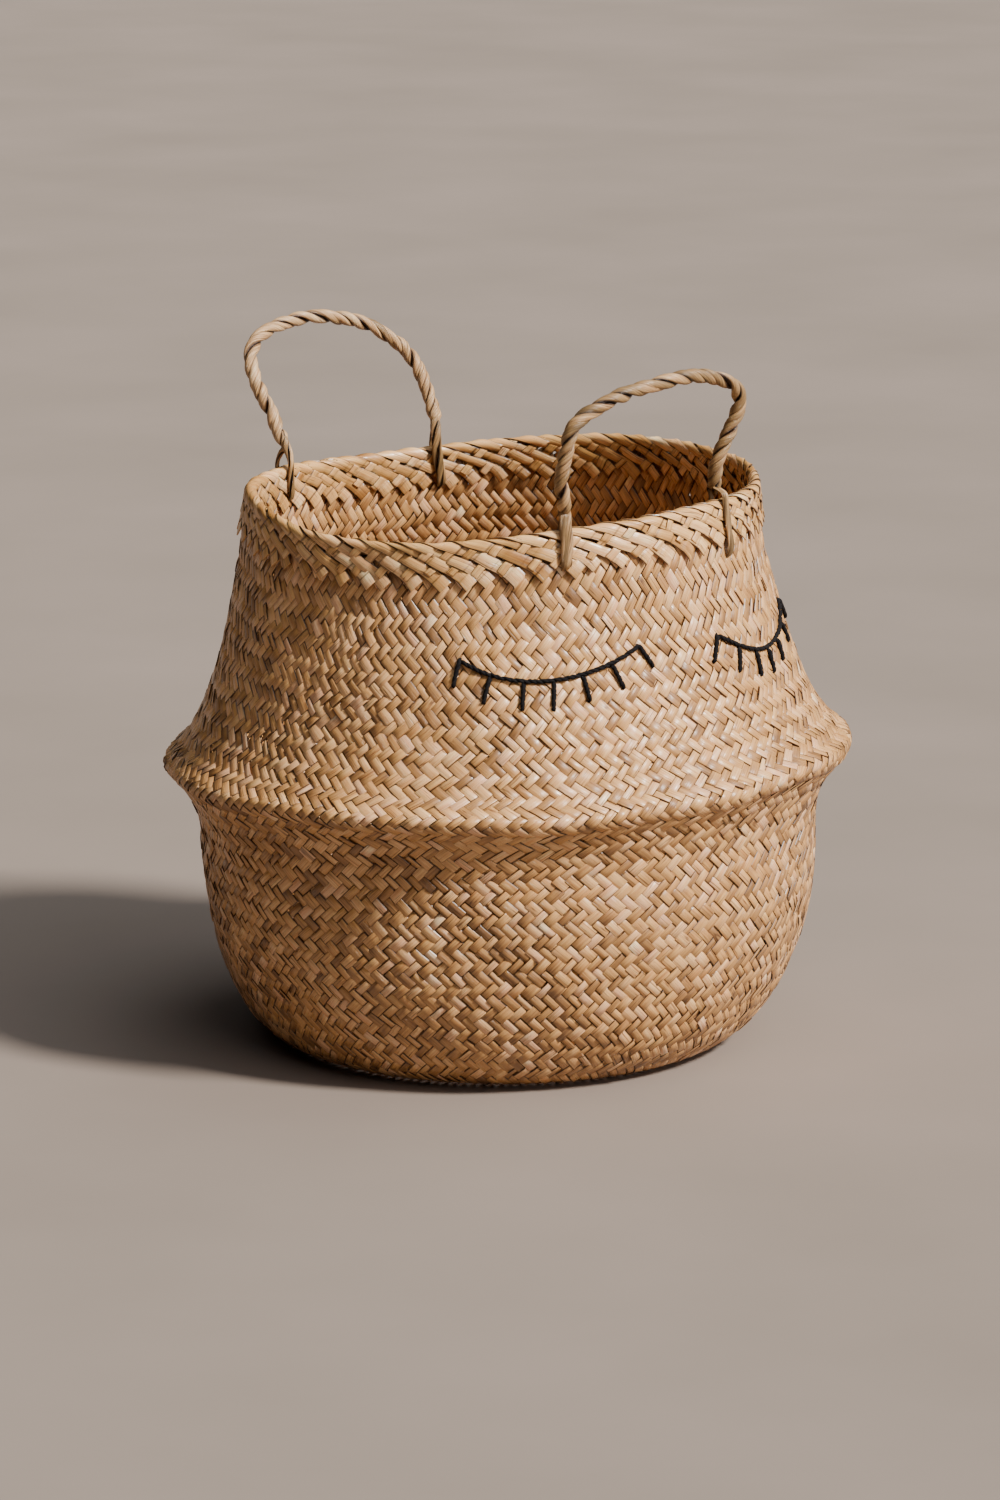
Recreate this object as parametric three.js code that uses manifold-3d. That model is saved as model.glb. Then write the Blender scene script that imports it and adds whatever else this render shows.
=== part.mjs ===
// Plaited rush basket: a round bowl, a belly ridge where the plait folds over, a shoulder that
// leans in to a narrow collar, a rim border of turned-down strand ends, two twisted rope handles
// whose split ends straddle the rim, and two sleeping eyes stitched in dark yarn.
// Millimetres, +Z up, origin at the centre of the base, the eyes and one handle towards -Y.
import * as THREE from "three";
import { mergeVertices } from "three/addons/utils/BufferGeometryUtils.js";
import Module from "manifold-3d";

// Plaited wall: radii are of its outer face, heights are above the floor.
const WALL = 3.2;
const BASE_RADIUS = 138;
const BOWL_RADIUS = 203;
const BOWL_SIDE_HEIGHT = 140;
const RIDGE_RADIUS = 225;
const RIDGE_HEIGHT = 192;
const CREST_RADIUS = 7;
const UNDER_RIDGE_ANGLE = 50;
const OVER_RIDGE_ANGLE = 60;
const COLLAR_FOOT_RADIUS = 171;
const COLLAR_FOOT_HEIGHT = 316;
const RIM_RADIUS = 164.8;
const BODY_HEIGHT = 364;

// How far each end of a profile curve pulls it along its own direction.
const BASE_PULL = 30;
const SIDE_PULL = 88;
const FLARE_SIDE_PULL = 20;
const FLARE_RIDGE_PULL = 15;
const SHOULDER_RIDGE_PULL = 22;
const SHOULDER_COLLAR_PULL = 72;

// Rim border: a channel of turned-down strand ends over the top of the collar.
const BORDER_SKIN = 2.2;
const BORDER_DEPTH = 27;

// Handles: a rope arch on two strand loops that straddle the rim and pass through the collar.
const ROPE_DIAMETER = 10;
const HANDLE_SPAN = 120;
const HANDLE_HEIGHT = 83;
const HANDLE_SHOULDER = 46;
const HANDLE_BULGE = 8;
const FRONT_HANDLE_LEAN = 12;
const BACK_HANDLE_LEAN = 28;
const LEG_WIDTH = 8;
const LEG_THICKNESS = 3;

// Stitched eyes: a hanging lid line with lashes fanned below it.
const YARN_DIAMETER = 2.4;
const EYE_SPREAD = 28.5;
const EYE_WIDTH = 114;
const LID_HEIGHT = 272.5;
const LID_RISE = 16;
const LASH_LENGTH = 15.5;
const LASH_FAN = 22;
const LASH_COUNT = 7;

// Clearances: between pieces that lie on each other, and round the loops.
const SEAT_GAP = 0.3;
const LOOP_GAP = 0.5;

// Fineness of the faceted surfaces.
const TURN_STEPS = 60;
const CURVE_STEPS = 9;
const CREST_STEPS = 3;
const ROPE_SIDES = 10;
const ROPE_STEPS = 15;
const YARN_SIDES = 6;
const LID_STEPS = 14;
const ARC_STEPS = 8;

const wasm = await Module();
wasm.setup();

const radians = THREE.MathUtils.degToRad;
const point = (x, y) => new THREE.Vector2(x, y);

const plait = new THREE.MeshStandardMaterial({ color: 0xc9a679, roughness: 0.82, metalness: 0 });
const plaitBorder = new THREE.MeshStandardMaterial({ color: 0xd6b58a, roughness: 0.8, metalness: 0 });
const rope = new THREE.MeshStandardMaterial({ color: 0xcdaa7c, roughness: 0.8, metalness: 0 });
const yarn = new THREE.MeshStandardMaterial({ color: 0x1d1a1b, roughness: 0.95, metalness: 0 });

const basket = new THREE.Group();

// Adds a named piece to the basket, or to a group inside it.
function addPiece(name, geometry, material, parent = basket) {
  const mesh = new THREE.Mesh(geometry, material);
  mesh.name = name;
  parent.add(mesh);
  return mesh;
}

// Keeps only positions and joins shared corners, so that the surface is one closed skin.
function closedSkin(geometry) {
  const bare = geometry.clone();
  bare.deleteAttribute("normal");
  bare.deleteAttribute("uv");
  return mergeVertices(bare, 1e-4);
}

// Turns a geometry into a solid for cutting and joining.
function toSolid(geometry) {
  const skin = closedSkin(geometry);
  const mesh = new wasm.Mesh({
    numProp: 3,
    vertProperties: new Float32Array(skin.attributes.position.array),
    triVerts: new Uint32Array(skin.index.array),
  });
  mesh.merge();
  return new wasm.Manifold(mesh);
}

// Turns a solid back into a geometry.
function toGeometry(solid) {
  const mesh = solid.getMesh();
  const geometry = new THREE.BufferGeometry();
  geometry.setAttribute("position", new THREE.BufferAttribute(new Float32Array(mesh.vertProperties), 3));
  geometry.setIndex(new THREE.BufferAttribute(new Uint32Array(mesh.triVerts), 1));
  geometry.computeVertexNormals();
  return geometry;
}

// Revolves a profile of (radius, height) points about the Z axis.
function revolve(profile) {
  return new THREE.LatheGeometry(profile, TURN_STEPS).rotateX(Math.PI / 2);
}

// Points of a cubic curve through the (radius, height) plane.
function curvePoints(start, startPull, endPull, end) {
  return new THREE.CubicBezierCurve(start, startPull, endPull, end).getPoints(CURVE_STEPS);
}

// Moves an outer profile, listed upwards, into the wall by its thickness.
function innerProfile(outer, thickness) {
  return outer.map((here, i) => {
    const before = outer[Math.max(i - 1, 0)];
    const after = outer[Math.min(i + 1, outer.length - 1)];
    const along = after.clone().sub(before).normalize();
    return point(here.x - along.y * thickness, here.y + along.x * thickness);
  });
}

// The radius of a profile, listed upwards, at one height.
function radiusAt(profile, height) {
  const top = profile.findIndex((p) => p.y >= height);
  const i = top < 0 ? profile.length - 1 : Math.max(top, 1);
  const [low, high] = [profile[i - 1], profile[i]];
  return low.x + ((high.x - low.x) * (height - low.y)) / (high.y - low.y);
}

// The part of a profile between two heights, with a point on each.
function between(profile, low, high) {
  const inside = profile.filter((p) => p.y > low && p.y < high);
  return [point(radiusAt(profile, low), low), ...inside, point(radiusAt(profile, high), high)];
}

// Belly ridge: the plait folds over on a round crest. Angles are measured from level, outwards.
function crestPoints(fromAngle, toAngle) {
  return Array.from({ length: CREST_STEPS + 1 }, (_, i) => {
    const a = radians(fromAngle + ((toAngle - fromAngle) * i) / CREST_STEPS);
    return point(
      RIDGE_RADIUS - CREST_RADIUS + CREST_RADIUS * Math.cos(a),
      RIDGE_HEIGHT + CREST_RADIUS * Math.sin(a),
    );
  });
}

// A point reached from another by going a distance along a direction.
const pulled = (from, angle, distance) => point(
  from.x + distance * Math.cos(angle),
  from.y + distance * Math.sin(angle),
);

const upright = Math.PI / 2;
const crestUnder = crestPoints(-UNDER_RIDGE_ANGLE, 0);
const crestOver = crestPoints(0, OVER_RIDGE_ANGLE);
const baseEdge = point(BASE_RADIUS, 0);
const bowlSide = point(BOWL_RADIUS, BOWL_SIDE_HEIGHT);

// Bowl: flat base, round turn up into the side, and a flare out to the belly ridge.
const bowlOuter = [
  ...curvePoints(
    baseEdge,
    pulled(baseEdge, 0, BASE_PULL),
    pulled(bowlSide, -upright, SIDE_PULL),
    bowlSide,
  ),
  ...curvePoints(
    bowlSide,
    pulled(bowlSide, upright, FLARE_SIDE_PULL),
    pulled(crestUnder[0], -upright - radians(UNDER_RIDGE_ANGLE), FLARE_RIDGE_PULL),
    crestUnder[0],
  ).slice(1),
  ...crestUnder.slice(1),
];

function bowlGeometry() {
  const inner = between(innerProfile(bowlOuter, WALL), WALL, RIDGE_HEIGHT);
  return revolve([point(0, 0), ...bowlOuter, ...inner.reverse(), point(0, WALL)]);
}

// The collar leans in by this angle from upright, between its foot and the rim.
const collarLean = Math.atan2(COLLAR_FOOT_RADIUS - RIM_RADIUS, BODY_HEIGHT - COLLAR_FOOT_HEIGHT);

// Shoulder: from the ridge it turns back over the bowl and sweeps in to the foot of the collar.
const shoulderFoot = crestOver[CREST_STEPS];
const collarFoot = point(COLLAR_FOOT_RADIUS, COLLAR_FOOT_HEIGHT);
const shoulderOuter = [
  ...crestOver,
  ...curvePoints(
    shoulderFoot,
    pulled(shoulderFoot, upright + radians(OVER_RIDGE_ANGLE), SHOULDER_RIDGE_PULL),
    pulled(collarFoot, -upright + 2 * collarLean, SHOULDER_COLLAR_PULL),
    collarFoot,
  ).slice(1),
];

function shoulderGeometry() {
  const [low, high] = [RIDGE_HEIGHT + SEAT_GAP, COLLAR_FOOT_HEIGHT - SEAT_GAP];
  const outer = between(shoulderOuter, low, high);
  const inner = between(innerProfile(shoulderOuter, WALL), low, high);
  return revolve([...outer, ...inner.reverse(), outer[0]]);
}

// The collar's own directions: "out" is square to the leaning wall, "down" runs along it from
// the top of the rim border, both measured from the middle of the wall.
const rimMiddle = RIM_RADIUS - (WALL / 2) / Math.cos(collarLean);

function onCollar(out, down) {
  return point(
    rimMiddle + out * Math.cos(collarLean) + down * Math.sin(collarLean),
    BODY_HEIGHT + out * Math.sin(collarLean) - down * Math.cos(collarLean),
  );
}

const halfWall = WALL / 2;
const borderInside = halfWall + SEAT_GAP;
const borderOutside = borderInside + BORDER_SKIN;

// Strand loop: a flat band bent into a long link, straight down both faces of the border.
const loopInnerRadius = borderOutside + LOOP_GAP;
const loopRadius = loopInnerRadius + LEG_THICKNESS / 2;
const loopOuterRadius = loopInnerRadius + LEG_THICKNESS;
const loopReach = BORDER_DEPTH + LOOP_GAP;

// Hinge line of a handle: through the ends of its rope, which stand on the crowns of the loops.
const ropeRadius = ROPE_DIAMETER / 2;
const hingeSeat = onCollar(0, -(loopOuterRadius + SEAT_GAP + ropeRadius));
const footTurn = Math.asin(HANDLE_SPAN / 2 / hingeSeat.x);
const hingeOut = Math.sqrt(hingeSeat.x ** 2 - (HANDLE_SPAN / 2) ** 2);

// Places a group on the rim at one foot of a handle: X square to the wall, Z up along it.
function footFrame(turn) {
  const turned = new THREE.Group();
  turned.rotation.z = turn - Math.PI / 2;
  const seat = new THREE.Group();
  seat.position.set(rimMiddle, 0, BODY_HEIGHT);
  seat.rotation.y = -collarLean;
  turned.add(seat);
  turned.updateMatrixWorld(true);
  return { turned, seat };
}

// The four feet: name, turn about Z from the front, in radians.
const feet = [
  { name: "front_left_loop", turn: -footTurn },
  { name: "front_right_loop", turn: footTurn },
  { name: "back_right_loop", turn: Math.PI - footTurn },
  { name: "back_left_loop", turn: Math.PI + footTurn },
];

// Collar: a short leaning ring with a slot for each loop to pass through.
function slotSolid(turn) {
  const topOfSlot = loopReach + Math.sqrt(loopInnerRadius ** 2 - halfWall ** 2) - LOOP_GAP;
  const footOfSlot = loopReach + loopOuterRadius + LOOP_GAP;
  const slot = new THREE.BoxGeometry(6 * WALL, LEG_WIDTH + 2 * LOOP_GAP, footOfSlot - topOfSlot);
  slot.translate(0, 0, -(topOfSlot + footOfSlot) / 2);
  const { seat } = footFrame(turn);
  return toSolid(slot.applyMatrix4(seat.matrixWorld));
}

function collarGeometry() {
  const wallTop = BORDER_SKIN + SEAT_GAP;
  const outerTop = onCollar(halfWall, wallTop);
  const innerTop = onCollar(-halfWall, wallTop);
  const outerFoot = point(COLLAR_FOOT_RADIUS, COLLAR_FOOT_HEIGHT);
  const innerFoot = point(COLLAR_FOOT_RADIUS - WALL / Math.cos(collarLean), COLLAR_FOOT_HEIGHT);
  const ring = toSolid(revolve([outerFoot, outerTop, innerTop, innerFoot, outerFoot]));
  const cut = feet.reduce((solid, foot) => solid.subtract(slotSolid(foot.turn)), ring);
  return toGeometry(cut);
}

// Rim border: a channel that hugs both faces and the top of the collar, its top corners rounded.
function borderGeometry() {
  const corner = (side) => {
    const middle = side * (borderOutside - BORDER_SKIN);
    const steps = [0, 1, 2].map((i) => (i * Math.PI) / 4);
    const arc = steps.map((a) => onCollar(
      middle + side * BORDER_SKIN * Math.cos(a),
      BORDER_SKIN - BORDER_SKIN * Math.sin(a),
    ));
    return side > 0 ? arc : arc.reverse();
  };
  const channel = [
    onCollar(borderOutside, BORDER_DEPTH),
    ...corner(1),
    ...corner(-1),
    onCollar(-borderOutside, BORDER_DEPTH),
    onCollar(-borderInside, BORDER_DEPTH),
    onCollar(-borderInside, BORDER_SKIN),
    onCollar(borderInside, BORDER_SKIN),
    onCollar(borderInside, BORDER_DEPTH),
    onCollar(borderOutside, BORDER_DEPTH),
  ];
  return revolve(channel);
}

// Outline of a link: half circles over the rim and through the slot, joined by straight legs.
function linkOutline(radius, steps) {
  const half = (centre, from) => Array.from({ length: steps + 1 }, (_, i) => {
    const a = from + (i * Math.PI) / steps;
    return point(radius * Math.cos(a), centre + radius * Math.sin(a));
  });
  return [...half(0, 0), ...half(-loopReach, Math.PI)];
}

function loopGeometry() {
  const shape = new THREE.Shape(linkOutline(loopOuterRadius, ARC_STEPS));
  shape.holes.push(new THREE.Path(linkOutline(loopInnerRadius, ARC_STEPS).reverse()));
  const band = new THREE.ExtrudeGeometry(shape, { depth: LEG_WIDTH, bevelEnabled: false });
  return band.translate(0, 0, -LEG_WIDTH / 2).rotateX(Math.PI / 2);
}

// Rope arch in its own plane: X along the hinge line, Y up the handle.
function ropePath() {
  const foot = HANDLE_SPAN / 2;
  const widest = foot + HANDLE_BULGE;
  const leg = (side) => new THREE.CubicBezierCurve3(
    new THREE.Vector3(side * foot, 0, 0),
    new THREE.Vector3(side * (foot + 0.6 * HANDLE_BULGE), HANDLE_SHOULDER / 3, 0),
    new THREE.Vector3(side * widest, (2 * HANDLE_SHOULDER) / 3, 0),
    new THREE.Vector3(side * widest, HANDLE_SHOULDER, 0),
  ).getPoints(ROPE_STEPS / 3);
  const crownRise = HANDLE_HEIGHT - HANDLE_SHOULDER;
  const crown = Array.from({ length: ROPE_STEPS - 1 }, (_, i) => {
    const a = (Math.PI * (i + 1)) / ROPE_STEPS;
    return new THREE.Vector3(-widest * Math.cos(a), HANDLE_SHOULDER + crownRise * Math.sin(a), 0);
  });
  const points = [...leg(-1), ...crown, ...leg(1).reverse()];
  return new THREE.CatmullRomCurve3(points, false, "chordal");
}

// A round section with the given number of sides.
function roundSection(radius, sides) {
  const corners = Array.from({ length: sides }, (_, i) => {
    const a = (2 * Math.PI * i) / sides;
    return point(radius * Math.cos(a), radius * Math.sin(a));
  });
  return new THREE.Shape(corners);
}

function tube(path, radius, sides, steps) {
  return new THREE.ExtrudeGeometry(roundSection(radius, sides), {
    steps, extrudePath: path, bevelEnabled: false,
  });
}

function ropeGeometry() {
  const path = ropePath();
  const arch = toSolid(tube(path, ropeRadius, ROPE_SIDES, 2 * ROPE_STEPS));
  const ends = [path.getPoint(0), path.getPoint(1)].map((end) => {
    const knuckle = new THREE.SphereGeometry(ropeRadius, ROPE_SIDES, ARC_STEPS);
    return toSolid(knuckle.translate(end.x, end.y, end.z));
  });
  return toGeometry(ends.reduce((solid, end) => solid.add(end), arch));
}

// A handle's rope stands on its hinge line and leans outwards from upright.
function addHandle(name, turn, lean) {
  const side = new THREE.Group();
  side.rotation.z = turn;
  const hinge = new THREE.Group();
  hinge.position.set(0, -hingeOut, hingeSeat.y);
  hinge.rotation.x = Math.PI / 2 + radians(lean);
  side.add(hinge);
  basket.add(side);
  addPiece(name, ropeGeometry(), rope, hinge);
}

function addLoops() {
  for (const foot of feet) {
    const { turned, seat } = footFrame(foot.turn);
    addPiece(foot.name, loopGeometry(), rope, seat);
    basket.add(turned);
  }
}

// A point on the shoulder at an arc length from an eye's middle, lifted clear for the yarn.
function onShoulder(eyeTurn, across, height) {
  const surface = radiusAt(shoulderOuter, height);
  const turn = eyeTurn + across / surface;
  const radius = surface + SEAT_GAP + YARN_DIAMETER / 2;
  return new THREE.Vector3(radius * Math.sin(turn), -radius * Math.cos(turn), height);
}

const halfEye = EYE_WIDTH / 2;
const lidHeight = (across) => LID_HEIGHT + LID_RISE * (across / halfEye) ** 2;

function lidGeometry(eyeTurn) {
  const points = Array.from({ length: LID_STEPS + 1 }, (_, i) => {
    const across = halfEye * ((2 * i) / LID_STEPS - 1);
    return onShoulder(eyeTurn, across, lidHeight(across));
  });
  return tube(new THREE.CatmullRomCurve3(points), YARN_DIAMETER / 2, YARN_SIDES, LID_STEPS);
}

// A lash hangs from just under the lid, and the outer ones fan away from the eye's middle.
function lashGeometry(eyeTurn, number) {
  const across = halfEye * ((2 * number) / (LASH_COUNT - 1) - 1);
  const fan = radians(LASH_FAN * (across / halfEye));
  const lidSlope = Math.atan((2 * LID_RISE * across) / halfEye ** 2);
  const start = (YARN_DIAMETER + SEAT_GAP) / Math.cos(fan + lidSlope);
  const at = (along) => onShoulder(
    eyeTurn,
    across + along * Math.sin(fan),
    lidHeight(across) - along * Math.cos(fan),
  );
  return tube(new THREE.LineCurve3(at(start), at(LASH_LENGTH)), YARN_DIAMETER / 2, YARN_SIDES, 1);
}

function addEye(name, eyeTurn) {
  addPiece(`${name}_lid`, lidGeometry(eyeTurn), yarn);
  for (let number = 0; number < LASH_COUNT; number += 1) {
    addPiece(`${name}_lash_${number + 1}`, lashGeometry(eyeTurn, number), yarn);
  }
}

addPiece("bowl", bowlGeometry(), plait);
addPiece("shoulder", shoulderGeometry(), plait);
addPiece("collar", collarGeometry(), plait);
addPiece("rim_border", borderGeometry(), plaitBorder);
addLoops();
addHandle("front_handle_rope", 0, FRONT_HANDLE_LEAN);
addHandle("back_handle_rope", Math.PI, BACK_HANDLE_LEAN);
addEye("left_eye", -radians(EYE_SPREAD));
addEye("right_eye", radians(EYE_SPREAD));

export default basket;
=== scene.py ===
# %% [markdown]
# # A plaited rush basket
# This lesson dresses a plain CAD frame of a round belly basket. The real basket is plaited from
# flat strands of dried seagrass that run on the slant in two directions. It has a belly ridge
# where the plait folds over, a narrow collar with a thick border, two twisted rope handles and
# two sleeping eyes stitched in dark yarn.
# The frame gives every place and every moving body, so the first cell loads it.

# %% Load the frame
import math

import bpy
import numpy as np
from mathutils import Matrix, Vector


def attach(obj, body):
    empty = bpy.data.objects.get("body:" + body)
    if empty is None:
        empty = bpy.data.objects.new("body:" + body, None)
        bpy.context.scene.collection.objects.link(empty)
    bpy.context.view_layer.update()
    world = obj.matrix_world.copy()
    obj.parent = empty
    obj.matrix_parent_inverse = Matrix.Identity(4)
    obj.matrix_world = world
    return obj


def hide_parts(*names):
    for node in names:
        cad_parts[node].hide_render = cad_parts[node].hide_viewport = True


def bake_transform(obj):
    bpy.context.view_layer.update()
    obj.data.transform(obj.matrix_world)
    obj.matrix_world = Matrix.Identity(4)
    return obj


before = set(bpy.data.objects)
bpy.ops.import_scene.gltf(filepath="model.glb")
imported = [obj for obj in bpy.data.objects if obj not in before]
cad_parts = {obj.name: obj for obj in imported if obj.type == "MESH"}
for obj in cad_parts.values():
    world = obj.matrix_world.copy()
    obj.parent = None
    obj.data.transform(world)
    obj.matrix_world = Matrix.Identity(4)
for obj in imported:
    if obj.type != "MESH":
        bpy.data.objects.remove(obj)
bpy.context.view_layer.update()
MM = 0.001

# %% [markdown]
# ## Camera, floor and light
# The photo was taken with a long lens from the basket's front left, a little above it. The camera
# is placed by its bearing, its height angle and its distance from a point inside the basket.
# The floor is one big plain sheet. The key lamp stands high at the front right and is small enough
# to leave a shadow. A very broad lamp from the same side softens the step into the shaded left, a
# bluish lamp from above fills the shade and the inside, and the world adds a trace more.

# %% Camera
CAMERA_BEARING = math.radians(-38)
CAMERA_HEIGHT_ANGLE = math.radians(13.3)
CAMERA_DISTANCE = 3.8
AIM = Vector((0, 0, 0.187))
LENS_MM = 138.9
SENSOR_MM = 36
SIDE_SHIFT = -0.002

back = Vector((
    math.sin(CAMERA_BEARING) * math.cos(CAMERA_HEIGHT_ANGLE),
    -math.cos(CAMERA_BEARING) * math.cos(CAMERA_HEIGHT_ANGLE),
    math.sin(CAMERA_HEIGHT_ANGLE),
))
camera = bpy.data.objects.new("photo_camera", bpy.data.cameras.new("photo_camera"))
bpy.context.scene.collection.objects.link(camera)
camera.location = AIM + CAMERA_DISTANCE * back
camera.rotation_euler = back.to_track_quat("Z", "Y").to_euler()
camera.data.lens = LENS_MM
camera.data.sensor_width = SENSOR_MM
camera.data.sensor_fit = "AUTO"
camera.data.shift_x = SIDE_SHIFT
bpy.context.scene.camera = camera
print("camera at", tuple(round(v, 3) for v in camera.location))


# %% Floor and lamps
WORLD_COLOUR = (0.86, 0.87, 0.9, 1)
WORLD_STRENGTH = 0.012


def nothing_selected():
    if bpy.context.mode != "OBJECT":
        bpy.ops.object.mode_set(mode="OBJECT")
    bpy.ops.object.select_all(action="DESELECT")


def sun_lamp(name, bearing, height_angle, strength, softness, colour):
    """A lamp far away, in degrees: bearing turns from the front to the right, softness is its width."""
    light = bpy.data.lights.new(name, "SUN")
    light.energy = strength
    light.angle = math.radians(softness)
    light.color = colour
    holder = bpy.data.objects.new(name, light)
    bpy.context.scene.collection.objects.link(holder)
    bearing, height_angle = math.radians(bearing), math.radians(height_angle)
    towards = Vector((
        math.sin(bearing) * math.cos(height_angle),
        -math.cos(bearing) * math.cos(height_angle),
        math.sin(height_angle),
    ))
    holder.location = AIM + 3 * towards
    holder.rotation_euler = towards.to_track_quat("Z", "Y").to_euler()
    return holder


nothing_selected()
bpy.ops.mesh.primitive_plane_add(size=40, location=(0, 0, 0))
floor = bpy.context.object
floor.name = "floor"
sun_lamp("key_lamp", 20, 43, 7.1, 9, (1.0, 0.965, 0.925))
sun_lamp("broad_side_lamp", 40, 48, 2.0, 100, (0.95, 0.97, 1.0))
sun_lamp("high_fill_lamp", 140, 82, 0.42, 80, (0.78, 0.89, 1.0))
world = bpy.data.worlds.new("pale_room")
world.use_nodes = True
world.node_tree.nodes["Background"].inputs["Color"].default_value = WORLD_COLOUR
world.node_tree.nodes["Background"].inputs["Strength"].default_value = WORLD_STRENGTH
bpy.context.scene.world = world

# %% [markdown]
# ## The wall's profile
# Every strand lies on one round wall, so the wall is first written as a line: how its radius and
# height change along the slope, from under the base edge, up the bowl, round the belly ridge,
# in over the shoulder and up the leaning collar. The line is the middle of the wall.
# Strands are then placed by an angle round the basket and a length along this line.

# %% Profile line
WALL = 3.2
RIDGE = (218.0, 192.0)
CREST_RADIUS = 7.0
WIDEST = (203, 140)
COLLAR_FOOT = (171, 316)
RIM = (164.8, 364.0)


def curve(a, b, c, d, steps=80):
    """A smooth curve from a to d that leaves a towards b and comes in to d from c."""
    t = np.linspace(0, 1, steps)[:, None]
    a, b, c, d = (np.array(p, float) for p in (a, b, c, d))
    return (1 - t) ** 3 * a + 3 * t * (1 - t) ** 2 * b + 3 * t * t * (1 - t) * c + t**3 * d


def crest(turns):
    """Points on the round top of the ridge, at angles in degrees from straight out."""
    turns = np.radians(turns)
    return np.stack([
        RIDGE[0] + CREST_RADIUS * np.cos(turns),
        RIDGE[1] + CREST_RADIUS * np.sin(turns),
    ], 1)


under, over = crest(np.array([-50.0]))[0], crest(np.array([60.0]))[0]
outer_line = np.concatenate([
    np.array([[128.0, 0.0], [133.0, 0.0]]),
    curve((138, 0), (168, 0), (WIDEST[0], 52), WIDEST),
    curve(WIDEST, (WIDEST[0], 160), (under[0] - 11.5, under[1] - 9.6), under)[1:],
    crest(np.linspace(-45, 60, 22)),
    curve(over, (over[0] - 19.1, over[1] + 11), (189.3, 246.4), COLLAR_FOOT)[1:],
    np.array([RIM]),
])
steps = np.r_[0, np.cumsum(np.hypot(*np.diff(outer_line, axis=0).T))]
fine = np.arange(0, steps[-1], 0.5)
outer_line = np.stack([np.interp(fine, steps, outer_line[:, i]) for i in (0, 1)], 1)
slope = np.gradient(outer_line, axis=0)
slope /= np.linalg.norm(slope, axis=1)[:, None]
outward = np.stack([slope[:, 1], -slope[:, 0]], 1)
middle = outer_line - outward * WALL / 2
length = np.r_[0, np.cumsum(np.hypot(*np.diff(middle, axis=0).T))]
print("wall is", round(length[-1], 1), "mm along its slope")


def profile(s):
    """Radius, height and outward direction of the wall at a length s along its slope, in mm."""
    columns = (middle[:, 0], middle[:, 1], outward[:, 0], outward[:, 1])
    radius, height, out_r, out_z = (np.interp(s, length, c) for c in columns)
    radius = radius + np.minimum(s, 0)
    return radius, height, out_r, out_z


# %% [markdown]
# ## A shape made by hand
# No plaited basket is truly round. The belly ridge in the photo dips on the left, the rim dips at
# the front left and rises at the front handle and the right, the belly stands a little to one side
# of the collar, and the wall has shallow dents. One function moves finished points by these few
# millimetres. Everything that lies on the wall goes through it, so that the border, the strands of
# the handles and the stitches stay on the plait.
# The rim heights are known at some bearings only. A sum of slow waves is fitted through them.

# %% Hand-made unevenness
RIDGE_TILT = 7.5
RIDGE_HIGH_AT = math.radians(52)
RIM_HEIGHTS = {
    -160: -2, -128: -1, -82: -8, -38: -2, 10: 8, 52: 7, 87: 9, 104: 9, 118: 8, 133: 4, 150: -1,
    165: -3, 178: -4,
}
BELLY_SHIFT = (2.4, -1.9)
# Ripples: size, how many go round the basket, their turn per mm of height, and their start.
DENTS = [(0.9, 5, 0.021, 0.6), (0.7, 9, -0.033, 2.1), (0.5, 14, 0.05, 4.0), (0.5, 3, 0.06, 1.0)]
ROWS_LIFTED = [(1.1, 4, 0.035, 0.0), (0.8, 11, -0.05, 1.0)]
ROWS_PUSHED = [(1.3, 6, 0.045, 2.0), (0.9, 13, -0.06, 0.0)]


def waves(turn):
    """The slow waves of the rim at each angle: a level, and up to three rounds of ups and downs."""
    return np.stack([
        np.ones_like(turn), np.cos(turn), np.sin(turn), np.cos(2 * turn), np.sin(2 * turn),
        np.cos(3 * turn), np.sin(3 * turn),
    ], -1)


known_turns = np.radians(np.array(list(RIM_HEIGHTS), float))
known_heights = np.array(list(RIM_HEIGHTS.values()), float)
rim_waves = np.linalg.lstsq(waves(known_turns), known_heights, rcond=None)[0]


def smooth_step(x):
    """0 below 0, 1 above 1, and a soft change between."""
    x = np.clip(x, 0, 1)
    return x * x * (3 - 2 * x)


def ripple(ripples, turn, z):
    return sum(size * np.sin(count * turn + climb * z + start) for size, count, climb, start in ripples)


def by_hand(points):
    """Moves points, in mm, from the true round form to the uneven one."""
    x, y, z = points[..., 0], points[..., 1], points[..., 2]
    radius = np.hypot(x, y)
    turn = np.arctan2(x, -y)
    above_ridge = 1 - smooth_step((z - 200) / 110)
    below_ridge = smooth_step(z / 190)
    lift = RIDGE_TILT * np.cos(turn - RIDGE_HIGH_AT) * above_ridge * below_ridge
    at_rim = smooth_step((z - 230) / 110) * (1 - smooth_step((z - 366) / 18))
    lift = lift + at_rim * (waves(turn) @ rim_waves)
    dents = ripple(DENTS, turn, z)
    dents = dents * smooth_step((z - 4) / 40) * (1 - smooth_step((z - 366) / 18))
    scale = (radius + dents) / np.maximum(radius, 1)
    on_wall = smooth_step((z - 6) / 60) * (1 - smooth_step((z - 300) / 40))
    lift = lift + on_wall * ripple(ROWS_LIFTED, turn, z)
    creep = on_wall * ripple(ROWS_PUSHED, turn, z) / np.maximum(radius, 60)
    x, y = x * np.cos(creep) - y * np.sin(creep), x * np.sin(creep) + y * np.cos(creep)
    aside = smooth_step(z / 40) * (1 - smooth_step((z - 225) / 80))
    x = x * scale + BELLY_SHIFT[0] * aside
    y = y * scale + BELLY_SHIFT[1] * aside
    return np.stack([x, y, z + lift], -1)


print("rim heights round the basket, mm:", np.round(waves(known_turns) @ rim_waves, 1))

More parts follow.
